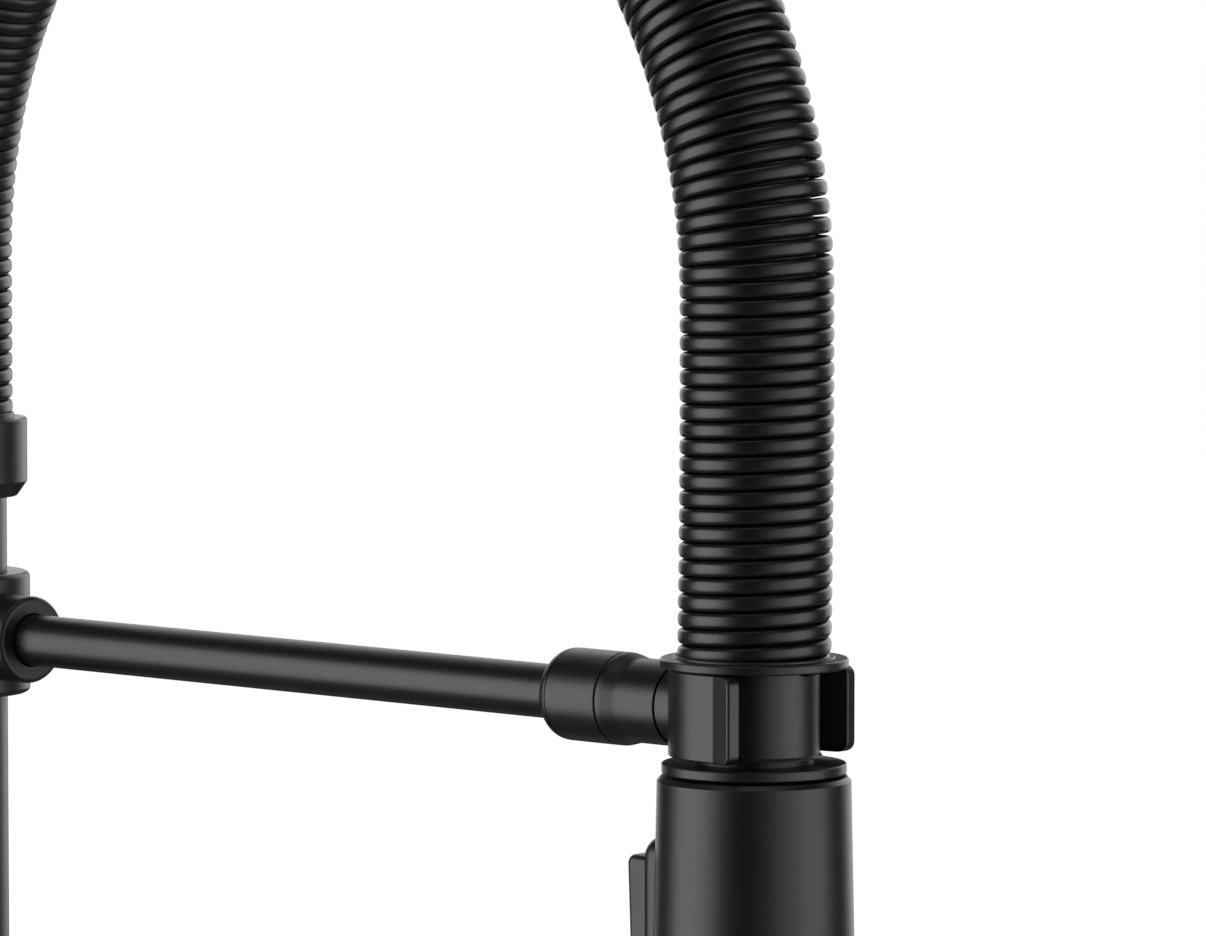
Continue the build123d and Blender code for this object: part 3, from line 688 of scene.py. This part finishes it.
def make_shell():
    """The spray head's shell, wider towards the face, with a window for the paddle."""
    top, low = corner("spray_shell", 1).z, corner("spray_shell", 0).z
    upper, lower = top - SHELL_UPPER, top - SHELL_LOWER
    shell = lathe("spray_shell_body", [
        (SHELL_HOLE, top - SHELL_WALL, 0.3), (SHELL_HOLE, top + 0.1, 0.3),
        (SHELL_TOP_R - 0.7, top + 0.1, 0.3), (SHELL_TOP_R - 0.15, top - 0.55, 0.25),
        (SHELL_TOP_R + 0.02, top - 0.75, 0.1),
        (SHELL_UPPER_R, upper, 60), (SHELL_LOWER_R, lower, 60), (SHELL_END_R, low, 0.2),
        (SHELL_END_R - SHELL_WALL, low, 0), (SHELL_LOWER_R - SHELL_WALL, lower, 60),
        (SHELL_UPPER_R - SHELL_WALL, upper, 60), (SHELL_TOP_R - SHELL_WALL, top - SHELL_WALL, 0)],
        HEAD, 160, 6)
    bezel_low, bezel_top = corner("paddle_bezel", 0), corner("paddle_bezel", 1)
    half = bezel_top.x - BEZEL_INSET
    window = plate("window", rectangle(half - 0.3, bezel_low.z + 0.3, bezel_top.z - 0.3, 1.0),
                   8, 30, 0, 0, HEAD_BACK)
    done(combine(shell, window, "DIFFERENCE"), BLACK_PLASTIC, "spray_head", "spray_shell")


def make_paddle():
    """The bezel on the back of the head, the hinge pin across it and the rocking paddle."""
    bezel_low, bezel_top = corner("paddle_bezel", 0), corner("paddle_bezel", 1)
    paddle_low, paddle_top = corner("mode_paddle", 0).z, corner("mode_paddle", 1).z - PADDLE_DROP
    outline = rectangle(bezel_top.x - BEZEL_INSET, bezel_low.z, bezel_top.z, BEZEL_CORNER, 8)
    bezel = plate("paddle_bezel_frame", outline, BEZEL_BACK, bezel_top.y - HEAD_Y - BEZEL_SUNK,
                  0, BEZEL_RIM, HEAD_BACK, steps=8)
    hole = plate("hole", rectangle(PADDLE_HALF + 0.4, paddle_low - 0.6, paddle_top + 1.0, 1.4),
                 5, 30, 0, 0, HEAD_BACK)
    done(combine(bezel, hole, "DIFFERENCE"), BLACK_PLASTIC, "spray_head", "paddle_bezel")

    pivot = middle("paddle_pin")
    pin_r = pivot.z - corner("paddle_pin", 0).z
    pin_half = PADDLE_HALF - 0.6
    pin = lathe("paddle_hinge_pin", [
        (0, -pin_half, 0), (pin_r, -pin_half, 0.2), (pin_r, pin_half, 0.2), (0, pin_half, 0)],
        Matrix.Translation(pivot) @ Matrix.Rotation(math.radians(90), 4, "Y"), 48)
    done(pin, STEEL, "spray_head", "paddle_pin")

    # the paddle is drawn from the side, as a rocker with a slightly hollow face
    side = rounded([
        (PADDLE_BACK, paddle_low, 0.3), (PADDLE_LOW_FACE, paddle_low, 1.6),
        (PADDLE_LOW_FACE + 0.1, pivot.z - 6, 60), (PADDLE_TOP_FACE, paddle_top, 1.7),
        (PADDLE_BACK, paddle_top, 0.3)], 8)
    paddle = plate("mode_paddle_body", side, -PADDLE_HALF, PADDLE_HALF, 1.3, 1.3, HEAD_SIDE, steps=6)
    for vertex in paddle.data.vertices:
        forward = max(vertex.co.y / MM - HEAD_Y - PADDLE_BACK, 0)
        vertex.co.x *= 1 - PADDLE_DRAFT * forward
    done(paddle, BLACK_PLASTIC, "mode_paddle", "mode_paddle")


def make_face_ring():
    """The ring round the spray face, with a fine seam below the shell."""
    shell_low = corner("spray_shell", 0).z
    low, high, seat_top = corner("face_ring", 0).z, shell_low - 0.05, shell_low + 2
    ring = lathe("spray_face_ring", [
        (FACE_BORE, low + 0.4, 0.2), (FACE_R - 1.2, low, 0.5), (FACE_R, low + 1.0, 0.7), (FACE_R, high, 0.3),
        (FACE_SEAT_R, high, 0), (FACE_SEAT_R, seat_top, 0), (FACE_BORE, seat_top, 0)], HEAD, 160)
    done(ring, BLACK_PLASTIC, "spray_head", "face_ring")


make_shell()
make_paddle()
make_face_ring()


# ---------------------------------------------------------------- base
FLANGE_R, FLANGE_BORE, GASKET_R, GASKET_BORE, GASKET_T = 27.0, 16.2, 25.2, 22.8, 1.5
BODY_R, SHOULDER_R, BODY_TOP_R, SHOULDER_DROP = 23.0, 17.4, 16.5, 13.0
PORT_R, PORT_START, PORT_END = 21.5, 3.0, 36.0
CUT_END = 60.0                               # past everything that is cut
CARTRIDGE_R, CARTRIDGE_START, PORT_MOUTH_R, PORT_MOUTH = 17.6, 8.5, 18.5, 30.0
SWIVEL_R, SWIVEL_DEPTH = 8.0, 14.0
POCKET_TOP, INLET_R, INLET_START, INLET_TOP, INLET_SIDE = 14.05, 4.55, 10.0, 28.0, 6.2
SHANK_R, SHANK_BORE, THREAD_PITCH, THREAD_DEPTH = 16.0, 12.75, 1.5, 0.75
WASHER_BORE, RUBBER_R, WASHER_R = 16.3, 26.0, 25.0
HEX_R, NUT_FLANGE_R, NUT_FLANGE_T, CLAMP_R, CLAMP_CENTRE = 24.0, 23.5, 4.2, 2.05, 20.0


def make_flange():
    """The round base flange, with a groove below for the gasket."""
    top = corner("base_flange", 1).z
    flange = lathe("base_escutcheon", [
        (FLANGE_BORE, 0, 0), (GASKET_BORE, 0, 0), (GASKET_BORE, GASKET_T, 0), (GASKET_R, GASKET_T, 0),
        (GASKET_R, 0, 0), (FLANGE_R, 0, 0.3), (FLANGE_R, top - 1.2, 1.4), (FLANGE_R - 2.4, top, 1.2),
        (FLANGE_BORE, top, 0)], around=160)
    done(flange, BLACK_PAINT, "faucet_base", "base_flange")


def make_body():
    """The body with its port for the cartridge, the pocket for the shank and two inlets."""
    low = corner("base_flange", 1).z
    top = corner("valve_body", 1).z
    body = lathe("valve_body_casting", [
        (0, low, 0), (BODY_R, low, 0.3), (BODY_R, top - SHOULDER_DROP, 8),
        (SHOULDER_R, top - 2.4, 3.0), (BODY_TOP_R, top, 0.6), (SWIVEL_R, top, 0),
        (SWIVEL_R, top - SWIVEL_DEPTH, 0), (0, top - SWIVEL_DEPTH, 0)], around=144, steps=8)
    port = lathe("port", [
        (0, PORT_START, 0), (PORT_R, PORT_START, 0), (PORT_R, PORT_END, 0.6), (0, PORT_END, 0)], PORT, 128)
    bore = lathe("bore", [
        (0, CARTRIDGE_START, 0), (CARTRIDGE_R, CARTRIDGE_START, 0), (CARTRIDGE_R, PORT_MOUTH, 0),
        (PORT_MOUTH_R, PORT_MOUTH, 0), (PORT_MOUTH_R, CUT_END, 0), (0, CUT_END, 0)], PORT, 96)
    combine(body, port, "UNION")
    combine(body, bore, "DIFFERENCE")
    combine(body, rod("pocket", SHANK_R, 0, POCKET_TOP, around=72), "DIFFERENCE")
    for side in (-1, 1):
        place = Matrix.Translation((0, side * INLET_SIDE, 0))
        inlet = rod("inlet", INLET_R, INLET_START, INLET_TOP, place, 44)
        combine(body, inlet, "DIFFERENCE")
    done(body, BLACK_PAINT, "faucet_base", "valve_body")


def make_shank():
    """The hollow shank with a real helical thread."""
    low, high = corner("mounting_shank", 0).z, corner("mounting_shank", 1).z
    around, rows_per_turn = 72, 6
    rows = int((high - low) / THREAD_PITCH * rows_per_turn)
    verts, faces = [], []
    for row in range(rows + 1):
        z = low + (high - low) * row / rows
        fade = min(min(z - low, high - z) / THREAD_PITCH, 1)
        for k in range(around):
            phase = (z / THREAD_PITCH - k / around) % 1.0
            depth = THREAD_DEPTH * (1 - abs(2 * phase - 1)) * fade + THREAD_DEPTH * 0.5 * (1 - fade)
            verts.append(on_circle(SHANK_R - depth, 2 * math.pi * k / around, z))
    for z in (high, low):
        verts += [on_circle(SHANK_BORE, 2 * math.pi * k / around, z) for k in range(around)]
    rings = list(range(rows + 3)) + [0]
    for a, b in zip(rings, rings[1:]):
        faces += strip(a * around, b * around, around)
    done(new_piece("threaded_shank", verts, faces), BRASS, "faucet_base", "mounting_shank")


def make_washer(name, node, radius, bore_edge, rim, material):
    low, high = corner(node, 0).z, corner(node, 1).z
    washer = lathe(name, [
        (WASHER_BORE, low, bore_edge), (radius, low, rim), (radius, high, rim),
        (WASHER_BORE, high, bore_edge)])
    done(washer, material, "faucet_base", node)


def make_nut():
    """The hexagon nut under the deck, with a round flange and holes for its two clamp screws."""
    low, high = corner("mounting_nut", 0).z, corner("mounting_nut", 1).z
    hexagon = [(*on_circle(HEX_R, math.pi / 3 * k, 0)[:2], 1.0) for k in range(6)]
    nut = plate("shank_nut", rounded(hexagon, 4), low, high - NUT_FLANGE_T, 0.8, 0.1)
    flange_low = high - NUT_FLANGE_T - 0.2
    flange = lathe("flange", [
        (0, flange_low, 0), (NUT_FLANGE_R, flange_low, 0.5), (NUT_FLANGE_R, high, 0.6), (0, high, 0)])
    combine(nut, flange, "UNION")
    combine(nut, rod("hole", SHANK_R - 0.1, low - 1, high + 1), "DIFFERENCE")
    for side in (-1, 1):
        place = Matrix.Translation((side * CLAMP_CENTRE, 0, 0))
        combine(nut, rod("drill", CLAMP_R, low - 1, high + 1, place, 32), "DIFFERENCE")
    done(nut, BRASS, "faucet_base", "mounting_nut")


make_flange()
make_body()
make_shank()
make_washer("rubber_deck_washer", "deck_rubber_washer", RUBBER_R, 0.3, 0.8, BLACK_RUBBER)
make_washer("steel_deck_washer", "deck_steel_washer", WASHER_R, 0.15, 0.3, STEEL)
make_nut()


# ---------------------------------------------------------------- lever
DOME_R, DOME_WALL, DOME_HOLE = 20.0, 1.6, 26      # the hole is in degrees from the axis
DOME_RIM_R, DOME_RIM_T = 21.5, 1.4
HUB_R, HUB_BOWL, HUB_START, HUB_END, HUB_EDGE = 16.2, 20.8, 13.9, 31.0, 4.6
SET_SCREW_R, SET_SCREW_AT = 2.5, 23.0
LEVER_LOW_R, LEVER_TOP_R, LEVER_WAY_R, LEVER_TAPER = 4.6, 3.9, 4.65, 21.0
ARC_STEPS = 24


def on_sphere(radius, angle):
    """An outline point on a sphere round the lever's pivot, at an angle from the axis."""
    return radius * math.sin(angle), radius * math.cos(angle), 0


def sphere_arc(radius, start, end, steps):
    """Outline points on that sphere, for these of the ARC_STEPS from one angle to another."""
    return [on_sphere(radius, start + (end - start) * k / ARC_STEPS) for k in steps]


def make_dome():
    """The hollow dome over the cartridge, which the lever's hub slides over."""
    face = PORT_END - PIVOT.x
    inner = DOME_R - DOME_WALL
    hole = math.radians(DOME_HOLE)
    rim = face + DOME_RIM_T
    outer_start, inner_start = math.acos(rim / DOME_R), math.acos(face / inner)
    outline = [on_sphere(inner, inner_start), (DOME_RIM_R, face, 0.25), (DOME_RIM_R, rim, 0.35)]
    outline += sphere_arc(DOME_R, outer_start, hole, range(ARC_STEPS + 1))
    outline += sphere_arc(inner, hole, inner_start, range(ARC_STEPS))
    dome = lathe("cartridge_dome", outline, Matrix.Translation((PIVOT.x, 0, 0)) @ PORT)
    done(dome, BLACK_PAINT, "faucet_base", "cartridge_bonnet")


def make_lever():
    """The hub, hollow below so that it tilts over the dome, and the lever bar that stands in it."""
    edge = math.asin(math.sqrt(HUB_BOWL ** 2 - HUB_START ** 2) / HUB_BOWL)
    outline = [(HUB_R, HUB_START, 0.2), (HUB_R, HUB_END, HUB_EDGE), (0, HUB_END, 0)]
    outline += sphere_arc(HUB_BOWL, 0, edge, range(ARC_STEPS + 1))
    hub = lathe("lever_hub", outline, STEM, 128, 8)
    sideways = Matrix.Rotation(math.radians(90), 4, "Y")
    screw_place = STEM @ Matrix.Translation((0, 0, SET_SCREW_AT)) @ sideways
    combine(hub, rod("way", SET_SCREW_R, 2, 20, screw_place, 48), "DIFFERENCE")

    low, top = corner("lever_rod", 0).z, corner("lever_rod", 1).z
    place = Matrix.Translation((middle("lever_rod").x, 0, 0))
    combine(hub, rod("way", LEVER_WAY_R, low, low + 30, place, 64), "DIFFERENCE")
    done(hub, BLACK_PAINT, "lever_handle", "handle_hub")

    bar = lathe("lever_bar", [
        (0, low, 0), (LEVER_LOW_R, low, 0), (LEVER_LOW_R, low + LEVER_TAPER, 20), (LEVER_TOP_R, top, 2.6),
        (0, top, 0)], place, 64, 8)
    done(bar, BLACK_PAINT, "lever_handle", "lever_rod")


make_dome()
make_lever()


# ---------------------------------------------------------------- CAD nodes that stay as they are
def finish_kept_nodes():
    """Gives every CAD node its finish and evens out its shading. Only the ones not replaced are shown."""
    finishes = {
        "painted_black": BLACK_PAINT, "black_plastic": BLACK_PLASTIC, "black_rubber": BLACK_RUBBER,
        "brass": BRASS, "steel": STEEL, "white_plastic": WHITE_PLASTIC, "ceramic": CERAMIC,
        "grey_silicone": SILICONE, "hose_braid": BRAID}
    slots = {part["node"]: part["material_slot"] for part in frame["record"]["subparts"]}
    for name, node in frame["nodes"].items():
        node.data.materials.clear()
        node.data.materials.append(finishes[slots[name]])
        weld = node.modifiers.new("weld", "WELD")
        weld.merge_threshold = 1e-6
        even = node.modifiers.new("even_normals", "WEIGHTED_NORMAL")
        even.keep_sharp = True


finish_kept_nodes()


# ---------------------------------------------------------------- stage
FLOOR_HALF, FLOOR_GAP, FLOOR_TONE = 60.0, 0.0005, 0.86
GLOW_NEAR, GLOW_FAR = (0.2, 0.45), (1.8, 1.0)      # metres from the middle, and how much the floor glows
LIGHT_HEIGHT = 0.280
# name, degrees round from the camera, degrees up, distance, width, height, radiance
SOFTBOXES = [
    ("left_box", -77, 0, 1.6, 1.6, 1.7, 3.35),
    ("left_box_edge", -44, 0, 1.6, 0.30, 1.7, 1.3),
    ("right_box_edge", 18, 0, 1.6, 0.50, 1.7, 0.36),
    ("right_box_middle", 37, 0, 1.6, 0.60, 1.7, 1.32),
    ("right_box", 70, 0, 1.6, 1.2, 1.7, 2.25),
    ("back_right_box", 150, 14, 1.8, 1.2, 1.6, 1.9),
    ("back_left_box", -166, 14, 1.8, 1.0, 1.6, 1.6),
    ("top_box", 0, 88, 1.6, 1.4, 1.4, 0.9),
    ("bottom_box", 0, -88, 0.342, 1.6, 1.6, 0.16),
]


def make_floor():
    """A plain pale floor that glows more with distance, so that it runs into the white behind it."""
    level = cad_box[0].z - FLOOR_GAP
    mesh = bpy.data.meshes.new("floor")
    corners = [(x * FLOOR_HALF, y * FLOOR_HALF, level) for x, y in ((-1, -1), (1, -1), (1, 1), (-1, 1))]
    mesh.from_pydata(corners, [], [(0, 1, 2, 3)])
    floor = bpy.data.objects.new("floor", mesh)
    scene.collection.objects.link(floor)
    material, tree, shader = principled("pale_floor")
    shader.inputs["Base Color"].default_value = (FLOOR_TONE, FLOOR_TONE, FLOOR_TONE, 1)
    shader.inputs["Roughness"].default_value = 0.9
    shader.inputs["Specular IOR Level"].default_value = 0.0
    shader.inputs["Emission Color"].default_value = (1, 1, 1, 1)
    space = tree.nodes.new("ShaderNodeTexCoord")
    distance = tree.nodes.new("ShaderNodeVectorMath")
    distance.operation = "LENGTH"
    tree.links.new(space.outputs["Object"], distance.inputs[0])
    glow = map_range(tree, distance.outputs["Value"], GLOW_NEAR[0], GLOW_FAR[0], GLOW_NEAR[1], GLOW_FAR[1])
    tree.links.new(glow, shader.inputs["Emission Strength"])
    floor.data.materials.append(material)
    floor.visible_glossy = False
    floor.visible_diffuse = False


def softbox(name, turn, rise, distance, width, height, radiance):
    """A soft area light that faces the spout."""
    data = bpy.data.lights.new(name, "AREA")
    data.shape = "RECTANGLE"
    data.size, data.size_y = width, height
    data.energy = radiance * math.pi * width * height
    light = bpy.data.objects.new(name, data)
    scene.collection.objects.link(light)
    aim = Vector((0, HEAD_Y * MM * 0.6, LIGHT_HEIGHT))
    towards = direction(VIEW_TURN + turn, rise)
    light.location = aim + towards * distance
    light.rotation_mode = "QUATERNION"
    light.rotation_quaternion = towards.to_track_quat("Z", "Y")
    light.visible_camera = False


def make_light():
    """Wide soft boxes on both sides, brightest away from the camera, with weak ones above and below."""
    for box in SOFTBOXES:
        softbox(*box)
    world = bpy.data.worlds.new("world")
    scene.world = world
    world.use_nodes = True
    background = world.node_tree.nodes["Background"]
    background.inputs["Color"].default_value = (1, 1, 1, 1)
    background.inputs["Strength"].default_value = 1.0
    world.cycles_visibility.diffuse = False
    world.cycles_visibility.glossy = False
    scene.view_settings.view_transform = "Standard"


make_floor()
make_light()
